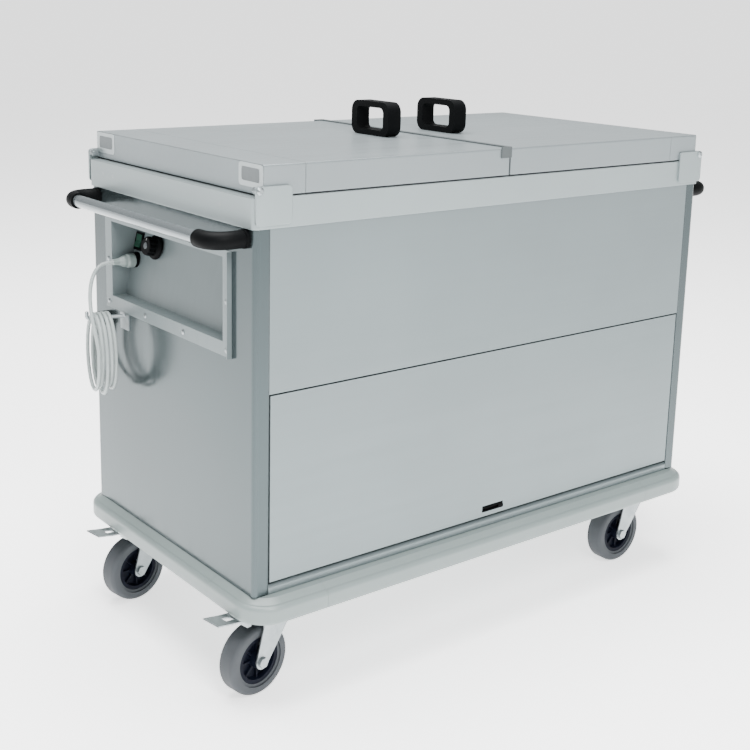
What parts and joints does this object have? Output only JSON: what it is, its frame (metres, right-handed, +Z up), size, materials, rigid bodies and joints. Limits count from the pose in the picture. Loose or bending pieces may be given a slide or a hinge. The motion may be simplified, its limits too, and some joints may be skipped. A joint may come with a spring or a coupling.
{
  "type": "hostess trolley",
  "caption": "Heated serving trolley with two hinged lids over wells, a top-hung flap, push bars, a control recess, a hung mains lead and swivel castors.",
  "frame": {"origin": "on the floor under the middle of the cabinet", "axes": "+X along the length towards the right-hand end, +Y towards the back, +Z up; the service flap faces -Y"},
  "size_m": [1.2184, 0.628, 0.981],
  "materials": {
    "casing_steel": "satin brushed stainless sheet",
    "lining_steel": "bright brushed stainless sheet",
    "chassis_steel": "zinc primed folded steel",
    "bumper_plastic": "grey-green moulded bumper, fine grain",
    "black_plastic": "black moulded plastic, satin",
    "grip_plastic": "black moulded plastic, slight gloss",
    "zinc_steel": "bright zinc plated steel",
    "tube_steel": "drawn stainless tube, satin",
    "seal_rubber": "dark rubber strip",
    "tyre_rubber": "grey rubber tyre",
    "cord_sheath": "pale grey flexible sheath",
    "plug_plastic": "pale grey moulded plug",
    "switch_green": "translucent green rocker"
  },
  "bodies": {
    "cabinet": {"chassis": "chassis_steel", "bumper_corners": "bumper_plastic", "bumper_rails": "bumper_plastic", "end_wall_left": "casing_steel", "end_wall_right": "casing_steel", "back_panel": "casing_steel", "front_panel": "casing_steel", "front_sill": "casing_steel", "compartment_lining": "lining_steel", "top_rim": "casing_steel", "rim_gasket": "seal_rubber", "well_left": "lining_steel", "well_right": "lining_steel", "heating_elements": "zinc_steel", "hinge_cheeks": "lining_steel", "hinge_pins": "zinc_steel", "casing_screws": "zinc_steel", "control_recess": "casing_steel", "thermostat": "black_plastic", "switch_housing": "black_plastic", "parking_socket": "black_plastic", "cable_hook": "zinc_steel", "cable_gland": "black_plastic", "cord_lead": "cord_sheath", "cord_hank": "cord_sheath", "cord_drop": "cord_sheath", "mains_plug": "plug_plastic", "push_bar_left": "tube_steel", "push_bar_right": "tube_steel", "bar_ends": "black_plastic", "flap_pivots": "zinc_steel", "castor_plates": "zinc_steel"},
    "flap": {"flap_shell": "casing_steel", "flap_lining": "lining_steel"},
    "latch": {"flap_latch": "black_plastic"},
    "knob": {"thermostat_knob": "black_plastic"},
    "rocker": {"switch_rocker": "switch_green"},
    "lid_left": {"lid_shell_left": "casing_steel", "lid_lining_left": "lining_steel", "lid_channel_left": "casing_steel", "lid_grip_left": "grip_plastic", "lid_strip": "seal_rubber"},
    "lid_right": {"lid_shell_right": "casing_steel", "lid_lining_right": "lining_steel", "lid_channel_right": "casing_steel", "lid_grip_right": "grip_plastic"},
    "castor_fl": {"castor_fork_fl": "zinc_steel"},
    "wheel_fl": {"wheel_fl": "black_plastic", "tyre_fl": "tyre_rubber"},
    "pedal_fl": {"brake_pedal_fl": "zinc_steel"},
    "castor_fr": {"castor_fork_fr": "zinc_steel"},
    "wheel_fr": {"wheel_fr": "black_plastic", "tyre_fr": "tyre_rubber"},
    "castor_bl": {"castor_fork_bl": "zinc_steel"},
    "wheel_bl": {"wheel_bl": "black_plastic", "tyre_bl": "tyre_rubber"},
    "pedal_bl": {"brake_pedal_bl": "zinc_steel"},
    "castor_br": {"castor_fork_br": "zinc_steel"},
    "wheel_br": {"wheel_br": "black_plastic", "tyre_br": "tyre_rubber"}
  },
  "joints": [
    {"name": "lid_left_hinge", "type": "hinge", "parent": "cabinet", "child": "lid_left", "pos_m": [-0.5295, 0, 0.8775], "axis": [0, -1, 0], "range_deg": [0, 180]},
    {"name": "lid_right_hinge", "type": "hinge", "parent": "cabinet", "child": "lid_right", "pos_m": [0.5295, 0, 0.8775], "axis": [0, 1, 0], "range_deg": [0, 180]},
    {"name": "flap_hinge", "type": "hinge", "parent": "cabinet", "child": "flap", "pos_m": [0, -0.271, 0.531], "axis": [-1, 0, 0], "range_deg": [0, 100]},
    {"name": "latch_pull", "type": "hinge", "parent": "flap", "child": "latch", "pos_m": [0, -0.276, 0.242], "axis": [-1, 0, 0], "range_deg": [0, 25], "stiffness_Nm_per_rad": 0.05},
    {"name": "thermostat_turn", "type": "hinge", "parent": "cabinet", "child": "knob", "pos_m": [-0.48586, 0.116, 0.72], "axis": [0.9764, 0, -0.2162], "range_deg": [0, 270]},
    {"name": "switch_rock", "type": "hinge", "parent": "cabinet", "child": "rocker", "pos_m": [-0.48195, 0.186, 0.71913], "axis": [0, -1, 0], "range_deg": [0, 14]},
    {"name": "swivel_fl", "type": "hinge", "parent": "cabinet", "child": "castor_fl", "pos_m": [-0.461, -0.218, 0.148], "axis": [0, 0, 1], "continuous": true},
    {"name": "roll_fl", "type": "hinge", "parent": "castor_fl", "child": "wheel_fl", "pos_m": [-0.49863, -0.22329, 0.0625], "axis": [-0.1392, 0.9903, 0], "continuous": true},
    {"name": "brake_fl", "type": "hinge", "parent": "castor_fl", "child": "pedal_fl", "pos_m": [-0.50655, -0.2244, 0.1417], "axis": [0.1392, -0.9903, 0], "range_deg": [0, 20]},
    {"name": "swivel_fr", "type": "hinge", "parent": "cabinet", "child": "castor_fr", "pos_m": [0.461, -0.218, 0.148], "axis": [0, 0, 1], "continuous": true},
    {"name": "roll_fr", "type": "hinge", "parent": "castor_fr", "child": "wheel_fr", "pos_m": [0.423, -0.218, 0.0625], "axis": [0, 1, 0], "continuous": true},
    {"name": "swivel_bl", "type": "hinge", "parent": "cabinet", "child": "castor_bl", "pos_m": [-0.461, 0.218, 0.148], "axis": [0, 0, 1], "continuous": true},
    {"name": "roll_bl", "type": "hinge", "parent": "castor_bl", "child": "wheel_bl", "pos_m": [-0.49863, 0.21271, 0.0625], "axis": [-0.1392, 0.9903, 0], "continuous": true},
    {"name": "brake_bl", "type": "hinge", "parent": "castor_bl", "child": "pedal_bl", "pos_m": [-0.50655, 0.2116, 0.1417], "axis": [0.1392, -0.9903, 0], "range_deg": [0, 20]},
    {"name": "swivel_br", "type": "hinge", "parent": "cabinet", "child": "castor_br", "pos_m": [0.461, 0.218, 0.148], "axis": [0, 0, 1], "continuous": true},
    {"name": "roll_br", "type": "hinge", "parent": "castor_br", "child": "wheel_br", "pos_m": [0.423, 0.218, 0.0625], "axis": [0, 1, 0], "continuous": true}
  ]
}
